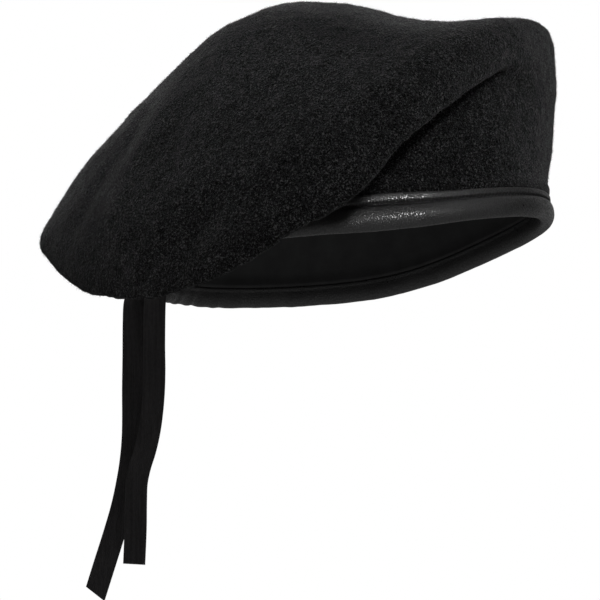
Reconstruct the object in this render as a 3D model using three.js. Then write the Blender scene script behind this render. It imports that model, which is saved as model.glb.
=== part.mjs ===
// Military beret: a black wool felt crown pulled down to the wearer's right and back, a leather
// binding round the head opening, a thin lining, and two flat tapes hanging from the back.
// Millimetres, +Z up, front of the beret towards -Y, the wearer's left towards +X.
// The origin is the centre of the head opening. A bearing is an angle in degrees, 0 at the front
// and growing towards the wearer's right, so 90 is the right side and 180 is the back.
import * as THREE from 'three';

// Head opening: an egg, blunt at the back, measured along the middle of the felt wall
const HEAD_HALF_LENGTH = 103.5;
const HEAD_HALF_WIDTH = 79;
const EGG_NARROWING = 0.12;
const BLUNTNESS = 2.25;

// The edge of the opening rises and falls in waves: their number in one turn, and the rise of each
// at the front and at the wearer's right
const RIM_WAVES = [
  { waves: 1, front: 11.8, right: -4.6 },
  { waves: 2, front: 2, right: -1.2 },
  { waves: 3, front: 2.2, right: -1.8 },
];

// Wall thicknesses
const FELT = 2.2;
const LINING = 0.9;
const TAPE = 0.9;

// Mesh steps
const STEPS_ROUND = 60;
const FELT_SPAN_STEPS = { rim: 1, collar: 2, wall: 2, throat: 3, under: 3, edge: 4, shoulder: 4, mid: 5 };
const LINING_SPAN_STEPS = { rim: 1, collar: 2, spring: 2, haunch: 1, ring: 2 };

// Crown
const CROWN_TOP = 133;
const FELT_EDGE_HEIGHT = 0.9;
const COLLAR_HEIGHT = 13.5;
const WALL_OUT_SHARE = 0.35;
const WALL_UP_SHARE = 0.5;
const UNDER_OUT_SHARE = 0.6;
const UNDER_DROP_SHARE = 0.42;

// One row per section of the crown. From the opening the felt rises to the throat, turns over
// and falls to the edge of the crown, then climbs by the shoulder and the mid ring to the top.
// At the front, throat and edge lie one above the other and the wall runs straight up.
const SECTION_COLUMNS = [
  'bearing', 'throatOut', 'throatUp', 'edgeOut', 'edgeUp', 'shoulderOut', 'shoulderUp', 'midOut', 'midUp',
];
const SECTIONS = [
  [0, 106, 58, 109.5, 97, 103.5, 119, 55, 113],
  [15, 103, 74, 108, 92, 102, 113, 54, 113],
  [30, 97, 82, 105, 79, 104, 100, 56, 114],
  [45, 91, 75, 108, 57, 106, 87, 57, 114],
  [60, 86, 66, 113, 33, 109, 69, 59, 113],
  [75, 83, 56, 116, 0, 112, 45, 63, 112],
  [90, 84, 46, 119, -19, 116, 27, 68, 110],
  [105, 90, 36, 125, -36, 121, 14, 72, 111],
  [120, 98, 26, 133, -43.5, 130, 6, 77, 112],
  [135, 105, 18, 141, -38, 139, 9, 79, 110],
  [150, 110, 12, 151, -19, 147, 20, 77, 108],
  [165, 112, 6, 161.5, 6, 150, 34, 76, 111],
  [180, 112, 4, 163, 15, 143, 46, 73, 115],
  [195, 112, 6, 158, 22, 134, 58, 67, 120],
  [210, 110, 12, 149, 31, 126, 68, 61, 122],
  [225, 104, 20, 138, 43, 116, 80, 60, 121],
  [240, 95, 30, 122, 58, 106, 88, 58, 118],
  [255, 89, 38, 109, 69, 98, 95, 56, 116],
  [270, 87, 45, 99, 78, 92, 100, 54, 115],
  [285, 88, 51, 98, 84, 91, 105, 53, 115],
  [300, 92, 54, 100, 89, 93, 109, 52, 115],
  [315, 98, 57, 103, 93, 95, 112, 52, 115],
  [330, 105, 56, 107.5, 95, 99.5, 118, 53, 114],
  [345, 106, 55, 108.5, 96, 102.5, 121, 54, 114],
];

// Soft folds of the crown: each dent runs along a straight line inside the felt and fades with the
// distance from it. A depth below zero is a ridge.
const FOLDS = [
  { from: [-87, 121, 9], to: [-83, 86, 60], halfWidth: 11, depth: 2.2 },
  { from: [-104, 95, 5], to: [-89, 76, 60], halfWidth: 9, depth: -1.8 },
  { from: [-109, 66, 25], to: [-101, 61, 48], halfWidth: 10, depth: 2 },
  { from: [-119, 62, -26], to: [-122, 43, -11], halfWidth: 13, depth: 2.4 },
  { from: [-122, 43, -11], to: [-122, 12, 6], halfWidth: 12, depth: 1.2 },
  { from: [-106, -15, 56], to: [-108, -36, 43], halfWidth: 15, depth: 1.2 },
];

// Outline of the leather binding, out from and up from the middle of the felt's edge: the outer
// strip down to the stitch line, the roll under the edge, and the leg inside the opening
const BINDING_OUTLINE = [
  [1.4, 10.5], [2.4, 10.6], [2.6, 7.4], [3.9, 5.6], [4.6, 2.6], [4.3, -0.6], [3.0, -3.0], [0.6, -4.0],
  [-1.8, -3.5], [-3.2, -1.6], [-3.4, 1.2], [-2.6, 6.0], [-1.5, 6.0], [-1.4, 0.4], [1.4, 0.4],
];

// The outer strip and the roll stand taller on the wearer's right, most at one bearing
const TALLEST_AT = 66;
const TALLEST_SPREAD = 22;
const TALLEST_GROWTH = 0.26;

// Lining
const LINING_INSET = 2.3;
const LINING_START = 6.5;
const LINING_TOP = 104;
const LINING_SPRING_DROP = 8;
const LINING_SPRING_INSET = 2;
const HAUNCH_OUT_SHARE = 0.84;
const HAUNCH_UP_SHARE = 0.55;
const RING_OUT_SHARE = 0.5;
const RING_UP = 96;

// Tapes: each row is a place on the middle line and the bearing that the width points to.
// A corner is a side of the width and a side of the thickness.
const TAPE_WIDTH = 10.8;
const TAPE_STEPS_PER_ROW = 2;
const TAPE_CORNERS = [[1, 1], [-1, 1], [-1, -1], [1, -1]];
const TIE_LONG = [
  [-4, 108.6, -9, -90],
  [-4, 112, -9.3, -84],
  [-4, 115.6, -11.2, -70],
  [-4, 117.6, -14.8, -48],
  [-4, 118.4, -19.5, -26],
  [-4, 118.6, -28, -16],
  [-4, 118.5, -46, -16],
  [-4, 118.4, -64, -16],
  [-4, 118.1, -81.5, -16],
  [-4, 118.2, -92.5, -16],
  [-4, 119.2, -105, -16],
  [-4, 121.2, -117, -16],
  [-4, 124.1, -130, -16],
  [-4, 128.2, -144, -16],
  [-4, 133, -159, -16],
  [-4, 137.6, -173.5, -16],
];
const TIE_SHORT = [
  [-12, 103.6, -17.3, -40],
  [-12, 103.9, -21, -30],
  [-12, 104, -27, -20],
  [-12, 104, -34, -16],
  [-12, 103.9, -46, -16],
  [-12, 103.6, -58, -16],
  [-12, 103.8, -69, -16],
  [-12, 104.5, -79, -16],
  [-12, 105.7, -88.5, -16],
  [-12, 108.1, -99.5, -16],
  [-12, 111, -109, -16],
  [-12, 112.6, -117, -16],
  [-12, 112.9, -127, -16],
  [-12, 112.9, -139.5, -16],
  [-12, 113.1, -150, -16],
  [-12, 113.4, -159.8, -16],
];

const radians = THREE.MathUtils.degToRad;

// A point at a bearing, a distance out from the axis and a height
function place(bearing, out, up) {
  const angle = radians(bearing);
  return new THREE.Vector3(-out * Math.sin(angle), -out * Math.cos(angle), up);
}

function rimOut(bearing) {
  const front = Math.cos(radians(bearing));
  const side = Math.sin(radians(bearing));
  const halfWidth = HEAD_HALF_WIDTH * (1 - EGG_NARROWING * front);
  const sum = Math.abs(front / HEAD_HALF_LENGTH) ** BLUNTNESS + Math.abs(side / halfWidth) ** BLUNTNESS;
  return sum ** (-1 / BLUNTNESS);
}

function rimUp(bearing) {
  const angle = radians(bearing);
  return RIM_WAVES.reduce((sum, { waves, front, right }) => (
    sum + front * Math.cos(waves * angle) + right * Math.sin(waves * angle)
  ), 0);
}

// Smooth reading of one column of the section table at any bearing
function readColumn(name, bearing) {
  const column = SECTION_COLUMNS.indexOf(name);
  const count = SECTIONS.length;
  const turn = ((bearing % 360) + 360) % 360;
  const position = turn / 360 * count;
  const row = Math.floor(position);
  const t = position - row;
  const value = (shift) => SECTIONS[(row + shift + count) % count][column];
  const slopeIn = (value(1) - value(-1)) / 2;
  const slopeOut = (value(2) - value(0)) / 2;
  const t2 = t * t;
  const t3 = t2 * t;
  return (2 * t3 - 3 * t2 + 1) * value(0) + (t3 - 2 * t2 + t) * slopeIn
    + (3 * t2 - 2 * t3) * value(1) + (t3 - t2) * slopeOut;
}

const mix = (a, b, share) => a + (b - a) * share;

// The middle line of the felt in one section: its stops from the opening to past the top
function feltStops(bearing) {
  const read = (name) => readColumn(name, bearing);
  const rim = [rimOut(bearing), rimUp(bearing) + FELT_EDGE_HEIGHT];
  const collar = [rim[0], rimUp(bearing) + COLLAR_HEIGHT];
  const throat = [read('throatOut'), read('throatUp')];
  const edge = [read('edgeOut'), read('edgeUp')];
  const wall = [mix(collar[0], throat[0], WALL_OUT_SHARE), mix(collar[1], throat[1], WALL_UP_SHARE)];
  const under = [mix(throat[0], edge[0], UNDER_OUT_SHARE), mix(throat[1], edge[1], UNDER_DROP_SHARE)];
  const shoulder = [read('shoulderOut'), read('shoulderUp')];
  const mid = [read('midOut'), read('midUp')];
  const beyond = [-readColumn('midOut', bearing + 180), readColumn('midUp', bearing + 180)];
  return [rim, collar, wall, throat, under, edge, shoulder, mid, [0, CROWN_TOP], beyond];
}

// The lining starts above the binding's inner leg and vaults freely under the crown
function liningStops(bearing) {
  const out = rimOut(bearing) - LINING_INSET;
  const rim = [out, rimUp(bearing) + LINING_START];
  const collar = [out, rimUp(bearing) + COLLAR_HEIGHT];
  const underThroat = readColumn('throatUp', bearing) - LINING_SPRING_DROP;
  const springUp = Math.max(underThroat, collar[1] + COLLAR_HEIGHT);
  const spring = [out - LINING_SPRING_INSET, springUp];
  const haunch = [out * HAUNCH_OUT_SHARE, mix(springUp, LINING_TOP, HAUNCH_UP_SHARE)];
  const ring = (side) => rimOut(bearing + side) * RING_OUT_SHARE;
  return [rim, collar, spring, haunch, [ring(0), RING_UP], [0, LINING_TOP], [-ring(180), RING_UP]];
}

// Rings of points round the beret, each ring at one step along the section lines
function ringsAlong(stopsAt, spanSteps) {
  const bearings = Array.from({ length: STEPS_ROUND }, (_, i) => i * 360 / STEPS_ROUND);
  const lines = bearings.map((bearing) => {
    const points = stopsAt(bearing).map(([out, up]) => new THREE.Vector3(out, 0, up));
    return new THREE.CatmullRomCurve3(points, false, 'centripetal');
  });
  const lastStop = Object.keys(spanSteps).length + 1;
  const rings = [];
  Object.values(spanSteps).forEach((steps, span) => {
    for (let step = 0; step < steps; step += 1) {
      const share = (span + step / steps) / lastStop;
      rings.push(bearings.map((bearing, i) => {
        const point = lines[i].getPoint(share);
        return place(bearing, point.x, point.z);
      }));
    }
  });
  return rings;
}

// The way out of the surface at one point of a grid of rings that ends in one point at the top
function outwardAt(rings, top, ring, step) {
  const around = rings[0].length;
  const at = (r, s) => (r < rings.length ? rings[r][(s + around) % around] : top);
  const across = at(ring, step - 1).clone().sub(at(ring, step + 1));
  const along = at(ring + 1, step).clone().sub(at(Math.max(ring - 1, 0), step));
  return across.cross(along).normalize();
}

function foldDepth(point) {
  const nearest = new THREE.Vector3();
  return FOLDS.reduce((sum, fold) => {
    const line = new THREE.Line3(new THREE.Vector3(...fold.from), new THREE.Vector3(...fold.to));
    line.closestPointToPoint(point, true, nearest);
    return sum + fold.depth * Math.exp(-((nearest.distanceTo(point) / fold.halfWidth) ** 2));
  }, 0);
}

function foldRings(rings, top) {
  return rings.map((points, ring) => points.map((point, step) => (
    point.clone().addScaledVector(outwardAt(rings, top, ring, step), -foldDepth(point))
  )));
}

// A wall of even thickness from a grid of rings that ends in one point at the top
function wallGeometry(rings, top, thickness) {
  const around = rings[0].length;
  const ringCount = rings.length;
  const positions = [];
  const faces = [];
  const push = (point, normal, side) => {
    const moved = point.clone().addScaledVector(normal, side * thickness / 2);
    positions.push(moved.x, moved.y, moved.z);
  };
  const upward = new THREE.Vector3(0, 0, 1);
  [1, -1].forEach((side) => {
    for (let ring = 0; ring < ringCount; ring += 1) {
      for (let step = 0; step < around; step += 1) {
        push(rings[ring][step], outwardAt(rings, top, ring, step), side);
      }
    }
    push(top, upward, side);
  });
  const layer = ringCount * around + 1;
  const triangle = (a, b, c, flipped) => faces.push(...(flipped ? [a, c, b] : [a, b, c]));
  [0, 1].forEach((inner) => {
    const start = inner * layer;
    for (let step = 0; step < around; step += 1) {
      const next = (step + 1) % around;
      for (let ring = 0; ring + 1 < ringCount; ring += 1) {
        const a = start + ring * around + step;
        const b = start + ring * around + next;
        triangle(a, b + around, b, inner === 1);
        triangle(a, a + around, b + around, inner === 1);
      }
      const lastRing = start + (ringCount - 1) * around;
      triangle(lastRing + step, start + layer - 1, lastRing + next, inner === 1);
    }
  });
  for (let step = 0; step < around; step += 1) {
    const next = (step + 1) % around;
    triangle(step, next, layer + next, false);
    triangle(step, layer + next, layer + step, false);
  }
  const geometry = new THREE.BufferGeometry();
  geometry.setAttribute('position', new THREE.Float32BufferAttribute(positions, 3));
  geometry.setIndex(faces);
  return geometry;
}

// A ring of one closed outline swept round the head opening, upright all the way
function bindingGeometry() {
  const corners = BINDING_OUTLINE.length;
  const positions = [];
  const faces = [];
  for (let step = 0; step < STEPS_ROUND; step += 1) {
    const bearing = step * 360 / STEPS_ROUND;
    const middle = place(bearing, rimOut(bearing), rimUp(bearing));
    const justBefore = place(bearing - 1, rimOut(bearing - 1), 0);
    const justAfter = place(bearing + 1, rimOut(bearing + 1), 0);
    const outward = new THREE.Vector3(0, 0, 1).cross(justAfter.sub(justBefore)).normalize();
    const growth = TALLEST_GROWTH * Math.exp(-(((bearing - TALLEST_AT) / TALLEST_SPREAD) ** 2));
    BINDING_OUTLINE.forEach(([out, up]) => {
      const taller = out > 0 && up > 1 ? 1 + growth : 1;
      positions.push(middle.x + outward.x * out, middle.y + outward.y * out, middle.z + up * taller);
    });
    const next = (step + 1) % STEPS_ROUND;
    for (let corner = 0; corner < corners; corner += 1) {
      const a = step * corners + corner;
      const b = step * corners + (corner + 1) % corners;
      const c = next * corners + (corner + 1) % corners;
      const d = next * corners + corner;
      faces.push(a, c, b, a, d, c);
    }
  }
  const geometry = new THREE.BufferGeometry();
  geometry.setAttribute('position', new THREE.Float32BufferAttribute(positions, 3));
  geometry.setIndex(faces);
  return geometry;
}

// A flat tape along its route; each row gives a place and the bearing its width points to
function tapeGeometry(route) {
  const middle = new THREE.CatmullRomCurve3(route.map(([x, y, z]) => new THREE.Vector3(x, y, z)));
  const turns = new THREE.CatmullRomCurve3(route.map((row) => new THREE.Vector3(row[3], 0, 0)));
  const positions = [];
  const faces = [];
  const corners = TAPE_CORNERS.length;
  const last = (route.length - 1) * TAPE_STEPS_PER_ROW;
  for (let step = 0; step <= last; step += 1) {
    const share = step / last;
    const point = middle.getPoint(share);
    const along = middle.getTangent(share);
    const across = place(turns.getPoint(share).x, 1, 0);
    const face = along.clone().cross(across).normalize();
    const width = face.clone().cross(along).normalize().multiplyScalar(TAPE_WIDTH / 2);
    face.multiplyScalar(TAPE / 2);
    TAPE_CORNERS.forEach(([side, front]) => {
      const corner = point.clone().addScaledVector(width, side).addScaledVector(face, front);
      positions.push(corner.x, corner.y, corner.z);
    });
    if (step === last) continue;
    for (let corner = 0; corner < corners; corner += 1) {
      const a = step * corners + corner;
      const b = step * corners + (corner + 1) % corners;
      faces.push(a, b, b + corners, a, b + corners, a + corners);
    }
  }
  const end = last * corners;
  faces.push(0, 2, 1, 0, 3, 2, end, end + 1, end + 2, end, end + 2, end + 3);
  const geometry = new THREE.BufferGeometry();
  geometry.setAttribute('position', new THREE.Float32BufferAttribute(positions, 3));
  geometry.setIndex(faces);
  return geometry;
}

const finish = (color, roughness) => new THREE.MeshStandardMaterial({ color, roughness, metalness: 0 });
const felt = finish(0x101011, 0.95);
const leather = finish(0x141414, 0.45);
const liningCloth = finish(0x0c0c0d, 0.8);
const tapeCloth = finish(0x0e0d0e, 0.85);

const beret = new THREE.Group();
function addPiece(name, geometry, material) {
  const mesh = new THREE.Mesh(geometry, material);
  mesh.name = name;
  beret.add(mesh);
}
const crownTop = new THREE.Vector3(0, 0, CROWN_TOP);
const liningTop = new THREE.Vector3(0, 0, LINING_TOP);
const feltRings = foldRings(ringsAlong(feltStops, FELT_SPAN_STEPS), crownTop);
const liningRings = ringsAlong(liningStops, LINING_SPAN_STEPS);
addPiece('felt_body', wallGeometry(feltRings, crownTop, FELT), felt);
addPiece('lining', wallGeometry(liningRings, liningTop, LINING), liningCloth);
addPiece('leather_binding', bindingGeometry(), leather);
addPiece('tie_long', tapeGeometry(TIE_LONG), tapeCloth);
addPiece('tie_short', tapeGeometry(TIE_SHORT), tapeCloth);

export default beret;
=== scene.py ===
import math

import bpy
import numpy as np
from mathutils import Matrix, Vector


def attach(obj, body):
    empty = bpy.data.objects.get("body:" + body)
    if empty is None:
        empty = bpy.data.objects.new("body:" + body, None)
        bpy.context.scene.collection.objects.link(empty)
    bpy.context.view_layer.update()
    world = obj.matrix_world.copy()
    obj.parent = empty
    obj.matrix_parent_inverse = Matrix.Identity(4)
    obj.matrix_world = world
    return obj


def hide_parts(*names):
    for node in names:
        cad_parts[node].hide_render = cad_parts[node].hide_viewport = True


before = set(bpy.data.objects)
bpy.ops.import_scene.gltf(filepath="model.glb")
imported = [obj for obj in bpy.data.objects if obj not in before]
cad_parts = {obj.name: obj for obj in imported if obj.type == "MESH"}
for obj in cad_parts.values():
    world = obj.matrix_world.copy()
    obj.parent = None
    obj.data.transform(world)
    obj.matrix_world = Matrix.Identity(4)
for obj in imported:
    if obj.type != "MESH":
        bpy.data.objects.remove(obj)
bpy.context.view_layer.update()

# Sizes of the beret are in millimetres, as in the CAD, and MM turns them into metres.
# The camera, the floor and the lamps are placed in metres.
# A bearing is an angle in degrees, 0 at the front and growing towards the wearer's right.
MM = 0.001

# Camera: the photograph's viewing angle, from the wearer's right and a little below
CAMERA_AZIMUTH = -74
CAMERA_ELEVATION = -13.5
CAMERA_DISTANCE = 1.4
PICTURE_SIDE = 600
PIXELS_PER_METRE = 1900
ORIGIN_PIXEL = (349.7, 256.8)
SENSOR_WIDTH = 36

# Head opening, walls and crown, as in the CAD
HEAD_HALF_LENGTH = 103.5
HEAD_HALF_WIDTH = 79
EGG_NARROWING = 0.12
BLUNTNESS = 2.25
RIM_WAVES = [
    {"waves": 1, "front": 11.8, "right": -4.6},
    {"waves": 2, "front": 2, "right": -1.2},
    {"waves": 3, "front": 2.2, "right": -1.8},
]
FELT = 2.2
LINING = 0.9
TAPE = 0.9
CROWN_TOP = 133
FELT_EDGE_HEIGHT = 0.9
COLLAR_HEIGHT = 13.5
WALL_OUT_SHARE = 0.35
WALL_UP_SHARE = 0.5
UNDER_OUT_SHARE = 0.6
UNDER_DROP_SHARE = 0.42
SECTION_COLUMNS = [
    "bearing", "throat_out", "throat_up", "edge_out", "edge_up",
    "shoulder_out", "shoulder_up", "mid_out", "mid_up",
]
SECTIONS = np.array([
    [0, 106, 58, 109.5, 97, 103.5, 119, 55, 113],
    [15, 103, 74, 108, 92, 102, 113, 54, 113],
    [30, 97, 82, 105, 79, 104, 100, 56, 114],
    [45, 91, 75, 108, 57, 106, 87, 57, 114],
    [60, 86, 66, 113, 33, 109, 69, 59, 113],
    [75, 83, 56, 116, 0, 112, 45, 63, 112],
    [90, 84, 46, 119, -19, 116, 27, 68, 110],
    [105, 90, 36, 125, -36, 121, 14, 72, 111],
    [120, 98, 26, 133, -43.5, 130, 6, 77, 112],
    [135, 105, 18, 141, -38, 139, 9, 79, 110],
    [150, 110, 12, 151, -19, 147, 20, 77, 108],
    [165, 112, 6, 161.5, 6, 150, 34, 76, 111],
    [180, 112, 4, 163, 15, 143, 46, 73, 115],
    [195, 112, 6, 158, 22, 134, 58, 67, 120],
    [210, 110, 12, 149, 31, 126, 68, 61, 122],
    [225, 104, 20, 138, 43, 116, 80, 60, 121],
    [240, 95, 30, 122, 58, 106, 88, 58, 118],
    [255, 89, 38, 109, 69, 98, 95, 56, 116],
    [270, 87, 45, 99, 78, 92, 100, 54, 115],
    [285, 88, 51, 98, 84, 91, 105, 53, 115],
    [300, 92, 54, 100, 89, 93, 109, 52, 115],
    [315, 98, 57, 103, 93, 95, 112, 52, 115],
    [330, 105, 56, 107.5, 95, 99.5, 118, 53, 114],
    [345, 106, 55, 108.5, 96, 102.5, 121, 54, 114],
], float)
# Folds of the crown, each along a line between two places; a negative depth pushes out
FOLDS = [
    {"start": (-87, 121, 9), "end": (-83, 86, 60), "half_width": 11, "depth": 2.2},
    {"start": (-104, 95, 5), "end": (-89, 76, 60), "half_width": 9, "depth": -1.8},
    {"start": (-109, 66, 25), "end": (-101, 61, 48), "half_width": 10, "depth": 2},
    {"start": (-119, 62, -26), "end": (-122, 43, -11), "half_width": 13, "depth": 2.4},
    {"start": (-122, 43, -11), "end": (-122, 12, 6), "half_width": 12, "depth": 1.2},
    {"start": (-106, -15, 56), "end": (-108, -36, 43), "half_width": 15, "depth": 1.2},
]

# Lining, as in the CAD
LINING_INSET = 2.3
LINING_START = 6.5
LINING_TOP = 104
LINING_SPRING_DROP = 8
LINING_SPRING_INSET = 2
HAUNCH_OUT_SHARE = 0.84
HAUNCH_UP_SHARE = 0.55
RING_OUT_SHARE = 0.5
RING_UP = 96

# Tapes: each row is a place on the middle line and the bearing that the width points to
TAPE_WIDTH = 10.8
TIE_LONG = np.array([
    [-4, 108.6, -9, -90], [-4, 112, -9.3, -84], [-4, 115.6, -11.2, -70], [-4, 117.6, -14.8, -48],
    [-4, 118.4, -19.5, -26], [-4, 118.6, -28, -16], [-4, 118.5, -46, -16], [-4, 118.4, -64, -16],
    [-4, 118.1, -81.5, -16], [-4, 118.2, -92.5, -16], [-4, 119.2, -105, -16], [-4, 121.2, -117, -16],
    [-4, 124.1, -130, -16], [-4, 128.2, -144, -16], [-4, 133, -159, -16], [-4, 137.6, -173.5, -16],
])
TIE_SHORT = np.array([
    [-12, 103.5, -16.2, -40], [-12, 103.9, -21, -30], [-12, 104, -27, -20], [-12, 104, -34, -16],
    [-12, 103.9, -46, -16], [-12, 103.6, -58, -16], [-12, 103.8, -69, -16], [-12, 104.5, -79, -16],
    [-12, 105.7, -88.5, -16], [-12, 108.1, -99.5, -16], [-12, 111, -109, -16],
    [-12, 112.6, -117, -16], [-12, 112.9, -127, -16], [-12, 112.9, -139.5, -16],
    [-12, 113.1, -150, -16], [-12, 113.4, -159.8, -16],
])

# The outer strip and the roll stand taller on the wearer's right, most at one bearing, as in the CAD
TALLEST_AT = 66
TALLEST_SPREAD = 22
TALLEST_GROWTH = 0.26
# The strip's top edge rises more than that, over a longer stretch
RISE = 1.1
RISE_AT = 58
RISE_SPREAD = 30

UP = np.array([0, 0, 1])


# Curves and grids

# Stops that fall together count as this far apart
LEAST_GAP = 1e-6
# How sharply evening cuts off what is shorter than its wavelength
CUT_SHARPNESS = 4
NOISE_WAVES = 28
NOISE_STRETCH = (0.7, 1.5)


def place(bearing, out, up):
    """Points at bearings, distances out from the axis and heights."""
    angle = np.radians(bearing)
    return np.stack(np.broadcast_arrays(-out * np.sin(angle), -out * np.cos(angle), up), -1)


def rim_out(bearing):
    """Distance of the rim's middle line from the axis, a blunt egg seen from above."""
    front = np.cos(np.radians(bearing))
    side = np.sin(np.radians(bearing))
    half_width = HEAD_HALF_WIDTH * (1 - EGG_NARROWING * front)
    total = np.abs(front / HEAD_HALF_LENGTH) ** BLUNTNESS + np.abs(side / half_width) ** BLUNTNESS
    return total ** (-1 / BLUNTNESS)


def rim_up(bearing):
    """Height of the rim's middle line."""
    angle = np.radians(bearing)
    return sum(
        wave["front"] * np.cos(wave["waves"] * angle) + wave["right"] * np.sin(wave["waves"] * angle)
        for wave in RIM_WAVES
    )


def read_column(name, bearing):
    """Smooth reading of one column of the section table at any bearing."""
    column = SECTIONS[:, SECTION_COLUMNS.index(name)]
    position = np.mod(bearing, 360) / 360 * len(column)
    row = np.floor(position).astype(int)
    t = position - row
    before, here, after, beyond = (column[(row + shift) % len(column)] for shift in (-1, 0, 1, 2))
    slope_in = (after - before) / 2
    slope_out = (beyond - here) / 2
    return (
        (2 * t**3 - 3 * t**2 + 1) * here + (t**3 - 2 * t**2 + t) * slope_in
        + (3 * t**2 - 2 * t**3) * after + (t**3 - t**2) * slope_out
    )


def strip_growth(bearing):
    """How much taller the outer strip and the roll are, as a share of their height."""
    return TALLEST_GROWTH * np.exp(-((bearing - TALLEST_AT) / TALLEST_SPREAD) ** 2)


def strip_rise(bearing):
    """How far the top edge of the outer strip rises beyond that."""
    return RISE * np.exp(-((bearing - RISE_AT) / RISE_SPREAD) ** 2)


def mix(a, b, share):
    return a + (b - a) * share


def stack_stops(stops):
    """Stops of (out, up) as one array: stop, station, out and up."""
    return np.stack([np.stack(np.broadcast_arrays(out, up), -1) for out, up in stops])


def felt_stops(bearing):
    """Stops of the felt's section: rim, collar, fold, crown, its top and one stop beyond."""
    rim = (rim_out(bearing), rim_up(bearing) + FELT_EDGE_HEIGHT)
    collar = (rim[0], rim_up(bearing) + COLLAR_HEIGHT)
    throat, edge, shoulder, mid = (
        (read_column(name + "_out", bearing), read_column(name + "_up", bearing))
        for name in ("throat", "edge", "shoulder", "mid")
    )
    wall = (mix(collar[0], throat[0], WALL_OUT_SHARE), mix(collar[1], throat[1], WALL_UP_SHARE))
    under = (mix(throat[0], edge[0], UNDER_OUT_SHARE), mix(throat[1], edge[1], UNDER_DROP_SHARE))
    top = (0 * bearing, CROWN_TOP + 0 * bearing)
    beyond = (-read_column("mid_out", bearing + 180), read_column("mid_up", bearing + 180))
    return stack_stops([rim, collar, wall, throat, under, edge, shoulder, mid, top, beyond])


def lining_stops(bearing):
    """Stops of the lining's section: rim, collar, dome, its top and one stop beyond."""
    out = rim_out(bearing) - LINING_INSET
    rim = (out, rim_up(bearing) + LINING_START)
    collar = (out, rim_up(bearing) + COLLAR_HEIGHT)
    under_throat = read_column("throat_up", bearing) - LINING_SPRING_DROP
    spring_up = np.maximum(under_throat, collar[1] + COLLAR_HEIGHT)
    spring = (out - LINING_SPRING_INSET, spring_up)
    haunch = (out * HAUNCH_OUT_SHARE, mix(spring_up, LINING_TOP, HAUNCH_UP_SHARE))
    ring = (rim_out(bearing) * RING_OUT_SHARE, RING_UP)
    top = (0 * bearing, LINING_TOP)
    beyond = (-rim_out(bearing + 180) * RING_OUT_SHARE, RING_UP)
    return stack_stops([rim, collar, spring, haunch, ring, top, beyond])


def through_stops(stops, places):
    """Points of a centripetal curve through stops, at places counted in stops."""
    padded = np.concatenate([[2 * stops[0] - stops[1]], stops, [2 * stops[-1] - stops[-2]]])
    found = []
    for where in places:
        span = min(int(where), len(stops) - 2)
        t = where - span
        p0, p1, p2, p3 = padded[span:span + 4]
        d0, d1, d2 = (
            np.sqrt(np.maximum(np.linalg.norm(b - a, axis=-1, keepdims=True), LEAST_GAP))
            for a, b in ((p0, p1), (p1, p2), (p2, p3))
        )
        slope1 = ((p1 - p0) / d0 - (p2 - p0) / (d0 + d1) + (p2 - p1) / d1) * d1
        slope2 = ((p2 - p1) / d1 - (p3 - p1) / (d1 + d2) + (p3 - p2) / d2) * d1
        found.append(
            p1 + slope1 * t + (3 * (p2 - p1) - 2 * slope1 - slope2) * t**2
            + (2 * (p1 - p2) + slope1 + slope2) * t**3
        )
    return np.array(found)


def crown_grid(stops_at, steps, stations):
    """Rings of points round the beret, from the opening up to the last ring below the top."""
    bearing = np.arange(stations) * 360 / stations
    places = [span + step / count for span, count in enumerate(steps) for step in range(count)]
    lines = through_stops(stops_at(bearing), places)
    return place(bearing, lines[..., 0], lines[..., 1])


def unit(vectors):
    return vectors / np.linalg.norm(vectors, axis=-1, keepdims=True)


def outward(rings, top):
    """The way out of the surface at each point of a grid of rings that ends in one point."""
    above = np.concatenate([rings[1:], np.broadcast_to(top, rings[:1].shape)])
    below = np.concatenate([rings[:1], rings[:-1]])
    across = np.roll(rings, 1, axis=1) - np.roll(rings, -1, axis=1)
    return unit(np.cross(across, above - below))


def evened(rings, wavelength):
    """The rings with what is shorter than the wavelength taken out round each ring."""
    parts = np.fft.rfft(rings, axis=1)
    radius = np.linalg.norm(rings - rings.mean(1, keepdims=True), axis=-1).mean(1)
    most = 2 * np.pi * radius / wavelength
    order = np.maximum(np.arange(parts.shape[1]) - 1, 0)
    keep = np.exp(-(order[None, :] / most[:, None]) ** CUT_SHARPNESS)
    return np.fft.irfft(parts * keep[..., None], rings.shape[1], axis=1)


def soft_noise(points, wavelength, seed):
    """Smooth noise of about -2 to 2, the sum of plane waves in many directions."""
    source = np.random.default_rng(seed)
    directions = unit(source.normal(size=(NOISE_WAVES, 3)))
    lengths = wavelength * source.uniform(*NOISE_STRETCH, NOISE_WAVES)
    phases = source.uniform(0, 2 * np.pi, NOISE_WAVES)
    total = 0
    for direction, length, phase in zip(directions, lengths, phases):
        total = total + np.cos(points @ direction * (2 * np.pi / length) + phase)
    return total * math.sqrt(2 / NOISE_WAVES)


def fold_depth(points):
    """How far the folds push a point into the crown."""
    total = np.zeros(points.shape[:-1])
    for fold in FOLDS:
        start, end = np.array(fold["start"], float), np.array(fold["end"], float)
        line = end - start
        share = np.clip((points - start) @ line / (line @ line), 0, 1)
        away = np.linalg.norm(points - (start + share[..., None] * line), axis=-1)
        total += fold["depth"] * np.exp(-(away / fold["half_width"]) ** 2)
    return total


# Making pieces

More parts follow.
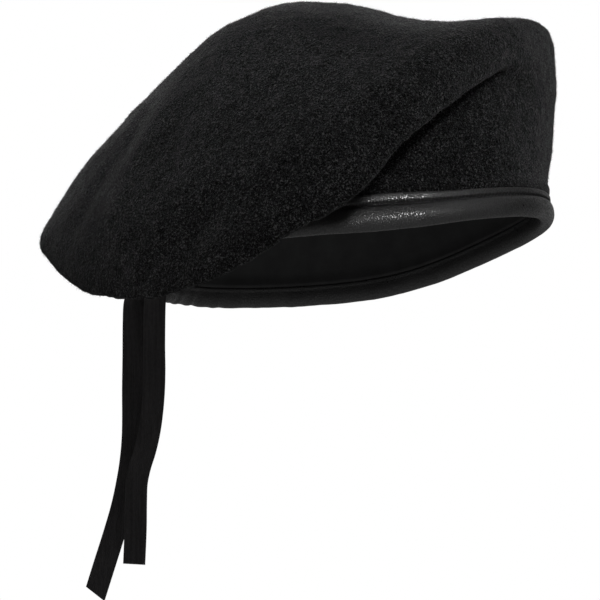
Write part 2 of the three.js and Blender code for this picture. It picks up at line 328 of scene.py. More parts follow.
def make_piece(name, points, faces, material, smooth=True, flat_places=None):
    """A mesh object from points in millimetres and arrays of faces, each array of one width.

    Flat places, one for each point, make a flat texture map named OFBake.
    """
    mesh = bpy.data.meshes.new(name)
    points = np.asarray(points, float).reshape(-1, 3) * MM
    faces = [np.asarray(group, np.int32) for group in faces]
    corners = np.concatenate([group.ravel() for group in faces])
    widths = np.concatenate([np.full(len(group), group.shape[1]) for group in faces])
    starts = np.concatenate([[0], np.cumsum(widths)[:-1]])
    mesh.vertices.add(len(points))
    mesh.vertices.foreach_set("co", points.astype(np.float32).ravel())
    mesh.loops.add(len(corners))
    mesh.loops.foreach_set("vertex_index", corners.astype(np.int32))
    mesh.polygons.add(len(starts))
    mesh.polygons.foreach_set("loop_start", starts.astype(np.int32))
    mesh.polygons.foreach_set("use_smooth", np.full(len(starts), smooth))
    if flat_places is not None:
        layer = mesh.uv_layers.new(name="OFBake")
        layer.uv.foreach_set("vector", flat_places[corners].astype(np.float32).ravel())
    mesh.update(calc_edges=True)
    mesh.materials.append(material)
    piece = bpy.data.objects.new(name, mesh)
    bpy.context.scene.collection.objects.link(piece)
    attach(piece, "root")
    return piece


def grid_faces(rows, columns, start=0, flipped=False):
    """Faces between the rows of a grid whose last column joins its first."""
    row, column = np.meshgrid(np.arange(rows - 1), np.arange(columns), indexing="ij")
    after = (column + 1) % columns
    a, b = row * columns + column, row * columns + after
    c, d = b + columns, a + columns
    order = (a, b, c, d) if flipped else (a, d, c, b)
    return start + np.stack(order, -1).reshape(-1, 4)


def fan_faces(ring_start, columns, tip, flipped=False):
    """Triangles between a ring of points and one tip."""
    step = np.arange(columns)
    a, b = ring_start + step, ring_start + (step + 1) % columns
    tips = np.full(columns, tip)
    return np.stack((a, b, tips) if flipped else (a, tips, b), -1)


def shell(outer, outer_top, inner, inner_top):
    """One closed wall from an outer and an inner grid of rings that meet at the first ring."""
    columns = outer.shape[1]
    points = np.concatenate([outer.reshape(-1, 3), [outer_top], inner.reshape(-1, 3), [inner_top]])
    start = outer.shape[0] * columns + 1
    step = np.arange(columns)
    after = (step + 1) % columns
    quads = np.concatenate([
        grid_faces(outer.shape[0], columns),
        grid_faces(inner.shape[0], columns, start, flipped=True),
        np.stack([step, after, start + after, start + step], -1),
    ])
    triangles = np.concatenate([
        fan_faces(start - 1 - columns, columns, start - 1),
        fan_faces(len(points) - 1 - columns, columns, len(points) - 1, flipped=True),
    ])
    return points, [quads, triangles]


# Materials

# Blender's noise keeps between these two values nearly everywhere, round its middle
NOISE_LOW = 0.36
NOISE_HIGH = 0.64
NOISE_MIDDLE = 0.5
# The leather's pebbles: their width, and the slant and scale that draw them out
PEBBLE_WIDTH = 1.25
PEBBLE_SLANT = 38
PEBBLE_SCALE = (1, 1.4, 0.7)
LEATHER_ROUGHNESS = 0.56
# The tape's streaks run long in the direction that it hangs
STREAK_SCALE = (1, 1, 0.04)


def add_node(tree, kind, inputs, **settings):
    """A shader node with its settings, and its inputs by name, each a value or another node's output."""
    node = tree.nodes.new(kind)
    for name, value in settings.items():
        setattr(node, name, value)
    for name, value in inputs.items():
        if isinstance(value, bpy.types.NodeSocket):
            tree.links.new(value, node.inputs[name])
        else:
            node.inputs[name].default_value = value
    return node


def new_material(name, **sockets):
    """A material, its node tree and its shader, with values for the shader's sockets."""
    material = bpy.data.materials.new(name)
    material.use_nodes = True
    shader = material.node_tree.nodes["Principled BSDF"]
    for socket, value in sockets.items():
        shader.inputs[socket.replace("_", " ")].default_value = value
    return material, material.node_tree, shader


def noise(tree, where, size, detail=3.0, roughness=0.5, distortion=0.0):
    """Noise whose largest grains are about size millimetres across."""
    return add_node(tree, "ShaderNodeTexNoise", {
        "Vector": where, "Scale": 1 / (size * MM), "Detail": detail,
        "Roughness": roughness, "Distortion": distortion,
    }).outputs["Fac"]


def combine(tree, operation, a, b):
    """The result of a math node on two inputs, each a value or another node's output."""
    node = tree.nodes.new("ShaderNodeMath")
    node.operation = operation
    for socket, value in zip(node.inputs, (a, b)):
        if isinstance(value, bpy.types.NodeSocket):
            tree.links.new(value, socket)
        else:
            socket.default_value = value
    return node.outputs[0]


def ranged(tree, value, low, high, to_low, to_high):
    """A value whose run from low to high becomes one from to_low to to_high, and no further."""
    return add_node(tree, "ShaderNodeMapRange", {
        "Value": value, "From Min": low, "From Max": high, "To Min": to_low, "To Max": to_high,
    }).outputs["Result"]


def tones(tree, value, stops):
    """A colour ramp through grey-black tones; each stop is a position and a colour."""
    node = add_node(tree, "ShaderNodeValToRGB", {"Fac": value})
    ramp = node.color_ramp
    while len(ramp.elements) < len(stops):
        ramp.elements.new(0.5)
    for element, (position, colour) in zip(ramp.elements, stops):
        element.position = position
        element.color = (*colour, 1)
    return node.outputs["Color"]


def bump(tree, height, depth, strength=1.0, below=None):
    """A bump of a height from 0 to 1 that stands for depth millimetres, over the bump below it."""
    inputs = {"Height": height, "Distance": depth * MM, "Strength": strength}
    if below is not None:
        inputs["Normal"] = below
    return add_node(tree, "ShaderNodeBump", inputs).outputs["Normal"]


def object_places(tree):
    return tree.nodes.new("ShaderNodeTexCoord").outputs["Object"]


def weighed(tree, *parts):
    """The sum of values, each given with its weight."""
    total = 0.0
    for value, weight in parts:
        total = combine(tree, "ADD", combine(tree, "MULTIPLY", value, weight), total)
    return total


def spread(tree, value):
    """Noise stretched so that it runs from 0 to 1 instead of keeping near the middle."""
    return ranged(tree, value, NOISE_LOW, NOISE_HIGH, 0.0, 1.0)


def ridges(tree, value, width):
    """Thin lines where noise crosses its middle value, 1 on the line and 0 beside it."""
    away = combine(tree, "ABSOLUTE", combine(tree, "SUBTRACT", value, NOISE_MIDDLE), 0.0)
    return ranged(tree, away, 0.0, width, 1.0, 0.0)


def felt_material():
    material, tree, shader = new_material(
        "wool_felt", Sheen_Weight=0.1, Sheen_Roughness=0.4, Sheen_Tint=(0.9, 0.9, 0.92, 1),
        Specular_IOR_Level=0.1,
    )
    where = object_places(tree)
    tangle = noise(tree, where, size=2.6, detail=4, roughness=0.6, distortion=1.8)
    fibres = ridges(tree, tangle, width=0.05)
    grains = spread(tree, noise(tree, where, size=1.0, detail=2, roughness=0.55))
    clumps = spread(tree, noise(tree, where, size=5, detail=3, roughness=0.55, distortion=0.6))
    blotches = spread(tree, noise(tree, where, size=26, detail=2))
    fine = weighed(tree, (fibres, 0.3), (grains, 0.7))
    shade = weighed(tree, (fine, 0.84), (clumps, 0.1), (blotches, 0.06))
    colour = tones(tree, shade, [
        (0.25, (0.0001, 0.0001, 0.0001)), (0.46, (0.0019, 0.0019, 0.002)),
        (0.66, (0.0115, 0.0115, 0.0117)), (0.86, (0.068, 0.068, 0.0685)),
    ])
    tree.links.new(colour, shader.inputs["Base Color"])
    tree.links.new(ranged(tree, fine, 0.0, 1.0, 1.0, 0.75), shader.inputs["Roughness"])
    lumps = bump(tree, clumps, depth=0.5, strength=0.7)
    fuzz = bump(tree, fine, depth=0.45, strength=0.9, below=lumps)
    tree.links.new(fuzz, shader.inputs["Normal"])
    return material


def nap_material():
    material, tree, shader = new_material(
        "wool_nap", Sheen_Weight=0.09, Roughness=0.6, Specular_IOR_Level=0.2,
    )
    where = object_places(tree)
    shade = spread(tree, noise(tree, where, size=1.3, detail=2, roughness=0.6))
    colour = tones(tree, shade, [
        (0.1, (0.0005, 0.0005, 0.0005)), (0.5, (0.005, 0.005, 0.0051)), (0.95, (0.036, 0.036, 0.0365)),
    ])
    tree.links.new(colour, shader.inputs["Base Color"])
    return material


def leather_material():
    material, tree, shader = new_material("grained_leather", Specular_IOR_Level=0.65)
    where = object_places(tree)
    slanted = add_node(tree, "ShaderNodeMapping", {
        "Vector": where, "Rotation": (math.radians(PEBBLE_SLANT), 0, 0), "Scale": PEBBLE_SCALE,
    }).outputs["Vector"]
    cells = add_node(tree, "ShaderNodeTexVoronoi", {
        "Vector": slanted, "Scale": 1 / (PEBBLE_WIDTH * MM), "Randomness": 0.9,
    }, feature="DISTANCE_TO_EDGE").outputs["Distance"]
    pebbles = ranged(tree, cells, 0.04, 0.2, 0.0, 1.0)
    wear = noise(tree, where, size=14, detail=3, roughness=0.55)
    colour = tones(tree, weighed(tree, (wear, 0.6), (pebbles, 0.2)), [
        (0.25, (0.003, 0.0029, 0.003)), (0.45, (0.0075, 0.0073, 0.0075)), (0.6, (0.013, 0.0126, 0.0128)),
    ])
    tree.links.new(colour, shader.inputs["Base Color"])
    rough = weighed(tree, (wear, 0.2), (pebbles, -0.36))
    tree.links.new(combine(tree, "ADD", rough, LEATHER_ROUGHNESS), shader.inputs["Roughness"])
    tree.links.new(bump(tree, pebbles, depth=0.08), shader.inputs["Normal"])
    return material


def lining_material():
    material, tree, shader = new_material(
        "lining_cloth", Roughness=0.75, Specular_IOR_Level=0.3, Sheen_Weight=0.03,
    )
    where = object_places(tree)
    shade = spread(tree, noise(tree, where, size=12, detail=4, roughness=0.6))
    colour = tones(tree, shade, [(0.0, (0.031, 0.031, 0.0314)), (1.0, (0.041, 0.041, 0.0416))])
    tree.links.new(colour, shader.inputs["Base Color"])
    weave = noise(tree, where, size=0.35, detail=1, roughness=0.4)
    tree.links.new(bump(tree, weave, depth=0.1, strength=0.6), shader.inputs["Normal"])
    return material


def tape_material():
    material, tree, shader = new_material(
        "ribbed_tape", Roughness=0.85, Specular_IOR_Level=0.25, Sheen_Weight=0.06,
    )
    where = object_places(tree)
    stretched = add_node(tree, "ShaderNodeMapping", {"Vector": where, "Scale": STREAK_SCALE})
    along = stretched.outputs["Vector"]
    streaks = spread(tree, noise(tree, along, size=1.3, detail=2))
    flecks = spread(tree, noise(tree, where, size=1.8, detail=4, roughness=0.65))
    shade = weighed(tree, (streaks, 0.6), (flecks, 0.4))
    colour = tones(tree, shade, [(0.0, (0.033, 0.0311, 0.032)), (1.0, (0.057, 0.0537, 0.0552))])
    tree.links.new(colour, shader.inputs["Base Color"])
    threads = noise(tree, where, size=0.4, detail=2)
    tree.links.new(bump(tree, threads, depth=0.12, strength=0.6), shader.inputs["Normal"])
    return material


# Camera

def camera_axes(azimuth, elevation):
    """Right, up and back of a camera; azimuth 0 is the front, and it grows towards the wearer's left."""
    a, e = math.radians(azimuth), math.radians(elevation)
    back = Vector((math.sin(a) * math.cos(e), -math.cos(a) * math.cos(e), math.sin(e)))
    right = Vector((math.cos(a), math.sin(a), 0))
    return right, back.cross(right), back


def make_camera():
    right, up, back = camera_axes(CAMERA_AZIMUTH, CAMERA_ELEVATION)
    half = PICTURE_SIDE / 2
    sideways = right * (half - ORIGIN_PIXEL[0]) / PIXELS_PER_METRE
    lengthways = up * (ORIGIN_PIXEL[1] - half) / PIXELS_PER_METRE
    target = sideways + lengthways
    camera = bpy.data.objects.new("camera", bpy.data.cameras.new("camera"))
    camera.data.sensor_width = SENSOR_WIDTH
    camera.data.lens = SENSOR_WIDTH * CAMERA_DISTANCE / (PICTURE_SIDE / PIXELS_PER_METRE)
    turn = Matrix((right, up, back)).transposed().to_4x4()
    camera.matrix_world = Matrix.Translation(target + back * CAMERA_DISTANCE) @ turn
    bpy.context.scene.collection.objects.link(camera)
    bpy.context.scene.camera = camera


# Tapes

TAPE_RIBS = 11
TAPE_COLUMNS = 45
RIB_HEIGHT = 0.06
# Each side of a tape is a selvedge, a thicker cord that stands out a little
SELVEDGE = 0.12
SELVEDGE_SHARE = 0.09
SELVEDGE_OUT = 0.4
# The higher this power, the squarer the sides of the section
SIDE_POWER = 24
TAPE_STEP = 0.7
TWIST = 0.25
TWIST_WAVELENGTH = 24
TWIST_SEED = 31
# How far the cut end slants, taken up by the last rows
SLANT_LONG = 2.2
SLANT_SHORT = 0.2
SLANT_ROWS = 14


def tape_section():
    """Across a tape: the side of the width from -1 to 1, and the half thickness there."""
    side = np.linspace(-1, 1, TAPE_COLUMNS)
    ribs = RIB_HEIGHT * np.cos(side * np.pi * TAPE_RIBS)
    edge = SELVEDGE * np.exp(-((1 - np.abs(side)) / SELVEDGE_SHARE) ** 2)
    closing = np.sqrt(np.clip(1 - np.abs(side) ** SIDE_POWER, 0, 1))
    return side, (TAPE / 2 - RIB_HEIGHT + ribs + edge) * closing


def make_tape(name, node, route, slant, material):
    """A ribbed tape along a route, with a square top and a cut end."""
    rows = int(np.linalg.norm(np.diff(route[:, :3], axis=0), axis=1).sum() / TAPE_STEP)
    places = np.linspace(0, len(route) - 1, rows)
    middle = through_stops(route[:, None, :3], places)[:, 0]
    width_bearing = np.interp(places, np.arange(len(route)), route[:, 3])
    along = unit(np.gradient(middle, axis=0))
    face = unit(np.cross(along, place(width_bearing, 1, 0)))
    width = unit(np.cross(face, along))
    side, half = tape_section()
    twist = TWIST * soft_noise(middle, TWIST_WAVELENGTH, TWIST_SEED)[:, None]
    rows_to_end = rows - 1 - np.arange(rows)[:, None]
    end_slant = slant * side * np.clip(1 - rows_to_end / SLANT_ROWS, 0, 1)
    line = middle[:, None] + width[:, None] * (side * (TAPE_WIDTH / 2 + SELVEDGE_OUT))[:, None]
    line = line + along[:, None] * end_slant[..., None] + face[:, None] * (twist * side)[..., None]
    front = line + face[:, None] * half[:, None]
    back = line[:, -2:0:-1] - face[:, None] * half[-2:0:-1, None]
    rings = np.concatenate([front, back], axis=1)
    around = rings.shape[1]
    last = (rows - 1) * around
    caps = [np.arange(around)[None, :], last + np.arange(around)[None, ::-1]]
    piece = make_piece(name, rings, [grid_faces(rows, around), *caps], material)
    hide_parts(node)
    return piece


# Felt

# Stations round the beret, and steps along each span of the section; the inside keeps every fourth ring
FELT_STATIONS = 384
FELT_STEPS = [9, 14, 14, 20, 22, 26, 40, 44]
INNER_EVERY = 4
# Round each ring the felt is evened of what is shorter than this
EVEN_WAVELENGTH = 34
TIP_RISE = 0.05
# Soft swells of the felt; up the section from the rim they start at one length and are whole at another
SWELLS = [
    {"wavelength": 58, "height": 0.35, "seed": 11},
    {"wavelength": 20, "height": 0.2, "seed": 12},
    {"wavelength": 6.5, "height": 0.12, "seed": 13},
]
STILL_BELOW = 11
MOVING_ABOVE = 30
# The felt swells out just above the leather strip
SWELLING_OUT = 1.5
SWELLING_ABOVE = 3.4
SWELLING_HEIGHT = 2.6
STRIP_TOP = 9.7


def make_felt(material):
    """The felt crown; gives its outer grid and the ways out of it."""
    crown_top = UP * CROWN_TOP
    middle = evened(crown_grid(felt_stops, FELT_STEPS, FELT_STATIONS), EVEN_WAVELENGTH)
    normals = outward(middle, crown_top)
    middle = middle - normals * fold_depth(middle)[..., None]
    path = np.concatenate([
        np.zeros((1, FELT_STATIONS)),
        np.cumsum(np.linalg.norm(np.diff(middle, axis=0), axis=-1), axis=0),
    ])
    free = np.clip((path - STILL_BELOW) / (MOVING_ABOVE - STILL_BELOW), 0, 1)
    swell = sum(
        wave["height"] * soft_noise(middle, wave["wavelength"], wave["seed"]) for wave in SWELLS
    )
    bearing = np.arange(FELT_STATIONS) * 360 / FELT_STATIONS
    strip_top = STRIP_TOP * (1 + strip_growth(bearing)) + strip_rise(bearing)
    above_strip = path - strip_top - SWELLING_ABOVE
    swelling = SWELLING_OUT * np.exp(-(above_strip / SWELLING_HEIGHT) ** 2)
    middle = middle + normals * (free * swell + swelling)[..., None]
    crown_top = middle[-1].mean(0) + UP * TIP_RISE
    normals = outward(middle, crown_top)
    outer = middle + normals * FELT / 2
    inner = (middle - normals * FELT / 2)[::INNER_EVERY]
    wall = UP * FELT / 2
    points, faces = shell(outer, crown_top + wall, inner, crown_top - wall)
    piece = make_piece("felt_crown", points, faces, material)
    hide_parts("felt_body")
    return outer, normals


# Nap: short wool strands that stand out of the felt, each a slim three-sided spike

STRANDS_PER_PIECE = 43000
NAP_PIECES = 3
# The nap starts at this ring of the felt, above the leather strip
NAP_FROM_RING = 14
NAP_SEED = 100
# Each strand's length is drawn between two lengths and shortened by a drawn share, and its
# lift off the felt is drawn between two angles in degrees; its root sinks into the felt
STRAND_LENGTH = (1.1, 3)
STRAND_SHORTENING = (0.6, 1)
STRAND_RADIUS = 0.07
STRAND_LIFT = (5, 34)
STRAND_ROOT = 0.1
STRAND_TURNS = (math.pi / 2, math.pi * 7 / 6, math.pi * 11 / 6)
STRAND_FACES = ((0, 2, 1), (0, 1, 3), (1, 2, 3), (2, 0, 3))
# On the flat map a strand lies at its root's place, inside a margin, with its four points round it
MAP_MARGIN = 0.005
MAP_SPAN = 0.985
FLAT_CORNERS = np.array([[-0.0009, -0.0006], [0.0009, -0.0006], [0, 0.0008], [0.0004, 0.0018]])


def strands(surface, ways_out, count, seed):
    """Strands rooted at random places of a grid surface, evenly by area.

    Gives their points, their faces and their places on a flat map of the grid.
    """
    source = np.random.default_rng(seed)
    rows, columns = surface.shape[0] - 1, surface.shape[1]
    after = np.roll(surface, -1, axis=1)
    areas = np.linalg.norm(np.cross(after[1:] - surface[:-1], surface[1:] - after[:-1]), axis=-1) / 2
    chosen = source.choice(areas.size, count, p=(areas / areas.sum()).ravel())
    row, column = chosen // columns, chosen % columns
    a, b = source.random((2, count, 1))
    weights = ((1 - a) * (1 - b), (1 - a) * b, a * b, a * (1 - b))
    corners = ((row, column), (row, (column + 1) % columns),
               (row + 1, (column + 1) % columns), (row + 1, column))
    root = sum(w * surface[c] for w, c in zip(weights, corners))
    out = unit(sum(w * ways_out[c] for w, c in zip(weights, corners)))
    lean = unit(np.cross(out, source.normal(size=(count, 3))))
    sideways = np.cross(out, lean)
    length = source.uniform(*STRAND_LENGTH, (count, 1))
    length = length * source.uniform(*STRAND_SHORTENING, (count, 1))
    lift = np.radians(source.uniform(*STRAND_LIFT, (count, 1)))
    tip = root + lean * length * np.cos(lift) + out * length * np.sin(lift)
    spine = unit(tip - root)
    ridge = np.cross(spine, sideways)
    root = root - out * STRAND_ROOT
    base = [
        root + STRAND_RADIUS * (sideways * math.cos(turn) + ridge * math.sin(turn))
        for turn in STRAND_TURNS
    ]
    points = np.stack([*base, tip], axis=1)
    first = np.arange(count)[:, None] * 4
    faces = np.concatenate([first + np.array(face) for face in STRAND_FACES])
    on_map = np.stack([(column + a[:, 0]) / columns, (row + b[:, 0]) / rows], axis=-1)
    flat_places = MAP_MARGIN + MAP_SPAN * on_map[:, None] + FLAT_CORNERS
    return points, faces, flat_places.reshape(-1, 2)


def make_nap(surface, ways_out, material):
    for number in range(NAP_PIECES):
        points, faces, flat_places = strands(
            surface[NAP_FROM_RING:], ways_out[NAP_FROM_RING:], STRANDS_PER_PIECE, NAP_SEED + number,
        )
        piece = make_piece(
            f"felt_nap_{number + 1}", points, [faces], material, smooth=False, flat_places=flat_places,
        )


# Lining

LINING_STATIONS = 240
LINING_STEPS = [3, 8, 14, 14, 14]
# It puffs inwards a little where it comes out of the leather
LINING_PUFF = 1.7
LINING_PUFF_HEIGHT = 4
# Further up it is slack, more and more over a stretch, and falls inwards
SLACK = 0.8
SLACK_FROM = 24
SLACK_STRETCH = 20
SLACK_WAVELENGTH = 46
SLACK_SEED = 21


def make_lining(material):
    top = UP * LINING_TOP
    middle = crown_grid(lining_stops, LINING_STEPS, LINING_STATIONS)
    normals = outward(middle, top)
    above_edge = middle[..., 2] - middle[:1, :, 2]
    puff = np.exp(-(above_edge / LINING_PUFF_HEIGHT) ** 2)[..., None]
    middle = middle - normals * LINING_PUFF * puff
    free = np.clip((middle[..., 2] - SLACK_FROM) / SLACK_STRETCH, 0, 1)
    slack = free * SLACK * soft_noise(middle, SLACK_WAVELENGTH, SLACK_SEED)
    middle = middle - normals * np.abs(slack)[..., None]
    half = normals * LINING / 2
    wall = UP * LINING / 2
    points, faces = shell(middle + half, top + wall, middle - half, top - wall)
    piece = make_piece("lining_dome", points, faces, material)
    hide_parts("lining")


# Leather binding

STITCHES = 305
STATIONS_PER_STITCH = 4
STITCH_UP = 7.6
# Each stitch pulls a pit into the outer strip, the part of the leather further out than PIT_FROM
PIT_DEPTH = 1.1
PIT_HEIGHT = 0.48
PIT_FROM = 1
# Outer points above this height grow with the strip
GROWS_ABOVE = 1
# The strip's rise starts at one height and is whole after a stretch
RISE_FROM = 8
RISE_STRETCH = 2
# Where the roll lies along the leather's line, as a share of it
ROLL_AT = 0.62
ROLL_SPREAD = 0.2
# Small wrinkles of the roll, deepest at the back, where the drawstring comes out
WRINKLE = 0.03
BACK_WRINKLE = 0.36
WRINKLE_WAVELENGTH = 7.5
WRINKLE_SEED = 41
WAVIEST_AT = 180
WAVY_SPREAD = 38
ROUND_PER_DEGREE = 1.6
# Wider dents of the roll
DENT = 0.08
DENT_WAVELENGTH = 22
DENT_SEED = 42
# Round the leather from the felt on the outside, over the strip, the roll and the inner leg
LEATHER_LINE = np.array([
    [1.4, 10.2], [1.8, 10.75], [2.45, 10.65], [2.74, 10.1], [2.8, 9.1], [2.8, 8.05], [1.75, 7.35],
    [2.5, 6.9], [3.5, 6.3], [4.15, 4.9], [4.55, 3.2], [4.68, 1.2], [4.3, -0.8], [3.4, -2.6],
    [2.0, -3.7], [0.3, -4.05], [-1.2, -3.75], [-2.3, -2.95], [-3.05, -1.7], [-3.65, -0.1],
    [-4.0, 1.6], [-4.2, 3.1], [-4.3, 3.9], [-4.65, 5.0], [-4.7, 5.9], [-4.4, 6.35], [-1.5, 6.38],
])
LEATHER_STEPS = 2
# Back along the inside of the leather, round the edge of the felt
INNER_LINE = np.array([[-1.4, 3.2], [-1.4, 0.4], [0, 0.1], [1.4, 0.4], [1.4, 5.4]])


def binding_frame(bearing):
    """The rim's middle line and the level way out from it."""
    line = place(bearing, rim_out(bearing), rim_up(bearing))
    just_before = place(bearing - 1, rim_out(bearing - 1), 0)
    just_after = place(bearing + 1, rim_out(bearing + 1), 0)
    return line, unit(np.cross(UP, just_after - just_before))


def make_binding(material):
    """The leather folded round the rim, a closed tube round the whole opening."""
    stations = STITCHES * STATIONS_PER_STITCH
    bearing = np.arange(stations) * 360 / stations
    line, out = binding_frame(bearing)
    places = np.arange((len(LEATHER_LINE) - 1) * LEATHER_STEPS + 1) / LEATHER_STEPS
    leather = through_stops(LEATHER_LINE[:, None], places)[:, 0]
    outline = np.concatenate([leather, INNER_LINE])
    ahead, behind = np.roll(outline, -1, axis=0), np.roll(outline, 1, axis=0)
    facing = unit((ahead - behind)[:, ::-1] * np.array([-1, 1]))
    moves = np.zeros((stations, len(outline)))
    rings = line[:, None] + out[:, None] * outline[None, :, :1]
    grows = (outline[:, 0] > 0) & (outline[:, 1] > GROWS_ABOVE)
    rings[..., 2] += outline[:, 1] * (1 + strip_growth(bearing)[:, None] * grows)
    rises = np.clip((outline[:, 1] - RISE_FROM) / RISE_STRETCH, 0, 1)
    rings[..., 2] += strip_rise(bearing)[:, None] * rises
    count = len(leather)
    stitch_phase = 2 * np.pi * np.arange(stations) / STATIONS_PER_STITCH
    on_strip = leather[:, 0] > PIT_FROM
    pit = np.exp(-((leather[:, 1] - STITCH_UP) / PIT_HEIGHT) ** 2) * on_strip
    moves[:, :count] -= PIT_DEPTH * ((0.5 - 0.5 * np.cos(stitch_phase)) ** 2)[:, None] * pit
    from_back = np.mod(bearing - WAVIEST_AT + 180, 360) - 180
    back = np.exp(-(from_back / WAVY_SPREAD) ** 2)
    straightened = np.stack([bearing * ROUND_PER_DEGREE, bearing * 0, bearing * 0], -1)
    wrinkles = soft_noise(straightened, WRINKLE_WAVELENGTH, WRINKLE_SEED)
    roll = np.exp(-((np.arange(count) / count - ROLL_AT) / ROLL_SPREAD) ** 2)
    moves[:, :count] += (WRINKLE + BACK_WRINKLE * back[:, None]) * wrinkles[:, None] * roll
    dents = soft_noise(rings[:, :count], DENT_WAVELENGTH, DENT_SEED)
    moves[:, :count] += DENT * dents * roll
    outward_moves = moves[..., None] * facing[None]
    rings = rings + out[:, None] * outward_moves[..., :1]
    rings[..., 2] += outward_moves[..., 1]
    # The last ring joins the first
    across = rings.shape[1]
    faces = grid_faces(stations + 1, across) % (stations * across)
    piece = make_piece("leather_rim", rings, [faces], material)
    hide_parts("leather_binding")


# Stitches: short threads that arch out of the leather, with rounded ends

THREAD_RADIUS = 0.26
STITCH_LENGTH = 1.15
STITCH_ARCH = 0.28
STITCH_ROUNDING = 0.98
STITCH_SINK = 0.02
STITCH_OUT = 1.65
STITCH_SLANT = 0.12
STITCH_RINGS = 6
STITCH_SIDES = 6


def thread_material():
    material, tree, shader = new_material("sewing_thread", Roughness=0.55, Specular_IOR_Level=0.4)
    shade = noise(tree, object_places(tree), size=0.6, detail=2)
    colour = tones(tree, shade, [(0.3, (0.006, 0.006, 0.006)), (0.7, (0.018, 0.0175, 0.018))])
    tree.links.new(colour, shader.inputs["Base Color"])
    return material


def make_stitches(material):
    bearing = (np.arange(STITCHES) + 0.5) * 360 / STITCHES
    line, out = binding_frame(bearing)
    around = unit(np.cross(UP, out))
    share = np.linspace(-1, 1, STITCH_RINGS)
    arch = np.sqrt(1 - (share * STITCH_ROUNDING) ** 2)
    turn = np.arange(STITCH_SIDES) * 2 * np.pi / STITCH_SIDES
    centre = line + out * STITCH_OUT
    centre[:, 2] += STITCH_UP * (1 + strip_growth(bearing))
    along = around[:, None] * (share * STITCH_LENGTH / 2)[:, None]
    along[..., 2] += share * STITCH_SLANT
    spine = centre[:, None] + along + out[:, None] * (STITCH_ARCH * arch - STITCH_SINK)[:, None]
    radius = THREAD_RADIUS * np.sqrt(arch)
    outwards = out[:, None, None] * (radius[:, None] * np.cos(turn))[..., None]
    upwards = UP * (radius[:, None] * np.sin(turn))[..., None]
    points = spine[:, :, None] + outwards + upwards
    per_stitch = STITCH_RINGS * STITCH_SIDES
    tube = grid_faces(STITCH_RINGS, STITCH_SIDES)
    first = np.arange(STITCHES)[:, None, None] * per_stitch
    faces = (first + tube).reshape(-1, 4)
    start_cap = np.arange(STITCH_SIDES)
    end_cap = per_stitch - 1 - np.arange(STITCH_SIDES)
    caps = (first[:, 0] + np.array([start_cap, end_cap])[:, None]).reshape(-1, STITCH_SIDES)
    piece = make_piece("rim_stitches", points, [faces, caps], material)


# Floor, background and lights

FLOOR_UP = -1.7
FLOOR_HALF = 40
# The light that the floor and the background give, and how bright the floor itself looks
FLOOR_GLOW = 0.22
AROUND_LIGHT = 0.01
FLOOR_TONE = 0.85
# The key lamp points at the crown's front right, the others at the middle
LIGHT_TARGET = Vector((0, 0.02, 0.03))
KEY_TARGET = Vector((-0.09, -0.06, 0.085))


def seen_or_lit(tree, lighting, seen):
    """One strength for the light that a surface gives, and another for how it looks itself."""
    direct = tree.nodes.new("ShaderNodeLightPath").outputs["Is Camera Ray"]
    return ranged(tree, direct, 0, 1, lighting, seen)


def make_floor():
    corners = [(-1, -1), (1, -1), (1, 1), (-1, 1)]
    mesh = bpy.data.meshes.new("floor")
    mesh.from_pydata([(x * FLOOR_HALF, y * FLOOR_HALF, FLOOR_UP) for x, y in corners], [], [(0, 1, 2, 3)])
    floor = bpy.data.objects.new("floor", mesh)
    bpy.context.scene.collection.objects.link(floor)
    material, tree, shader = new_material(
        "pale_floor", Base_Color=(0.8, 0.8, 0.8, 1), Roughness=0.9, Specular_IOR_Level=0.1,
        Emission_Color=(1, 1, 1, 1),
    )
    tree.links.new(seen_or_lit(tree, FLOOR_GLOW, FLOOR_TONE), shader.inputs["Emission Strength"])
    mesh.materials.append(material)


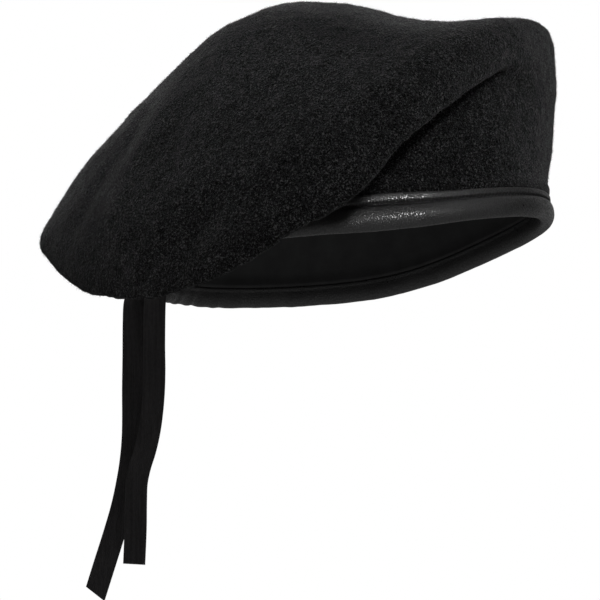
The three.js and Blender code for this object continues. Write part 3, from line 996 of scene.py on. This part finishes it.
def soft_light(name, azimuth, elevation, distance, size, power, spread_angle=180, target=LIGHT_TARGET):
    """A lamp of a width and a height that faces its target; its azimuth is as the camera's."""
    _, _, back = camera_axes(azimuth, elevation)
    lamp = bpy.data.lights.new(name, "AREA")
    lamp.shape = "RECTANGLE"
    lamp.size, lamp.size_y = size
    lamp.energy = power
    lamp.spread = math.radians(spread_angle)
    light = bpy.data.objects.new(name, lamp)
    light.location = target + back * distance
    light.rotation_euler = (-back).to_track_quat("-Z", "Y").to_euler()
    bpy.context.scene.collection.objects.link(light)
    return light


def shade_from(light, pieces):
    """Keeps a light off some pieces, as a card held in front of the lamp does."""
    shaded = bpy.data.collections.new(light.name + "_shade")
    for piece in pieces:
        shaded.objects.link(piece)
    for entry in shaded.collection_objects:
        entry.light_linking.link_state = "EXCLUDE"
    light.light_linking.receiver_collection = shaded


def make_background():
    """White behind the beret, with a weaker even light from all round."""
    world = bpy.data.worlds.new("studio")
    bpy.context.scene.world = world
    world.use_nodes = True
    tree = world.node_tree
    background = tree.nodes["Background"]
    background.inputs["Color"].default_value = (1, 1, 1, 1)
    tree.links.new(seen_or_lit(tree, AROUND_LIGHT, 1.0), background.inputs["Strength"])


# Put together

make_camera()
tape_cloth = tape_material()
tapes = [
    make_tape("tie_long_tape", "tie_long", TIE_LONG, SLANT_LONG, tape_cloth),
    make_tape("tie_short_tape", "tie_short", TIE_SHORT, SLANT_SHORT, tape_cloth),
]
felt_surface, felt_ways_out = make_felt(felt_material())
make_nap(felt_surface, felt_ways_out, nap_material())
make_lining(lining_material())
make_binding(leather_material())
make_stitches(thread_material())

make_floor()
make_background()
key = soft_light(
    "key_light", azimuth=-62, elevation=10, distance=1.5, size=(0.6, 0.2), power=0.36,
    spread_angle=15, target=KEY_TARGET,
)
soft_light("top_light", azimuth=-5, elevation=66, distance=1.8, size=(1.8, 1.8), power=5)
soft_light("edge_light", azimuth=66, elevation=20, distance=2.2, size=(2.2, 2.2), power=5)
far = soft_light(
    "far_light", azimuth=112, elevation=32, distance=2.2, size=(1.6, 1.6), power=11, spread_angle=70,
)
for lamp in (key, far):
    shade_from(lamp, tapes)
bpy.context.scene.view_settings.view_transform = "Standard"
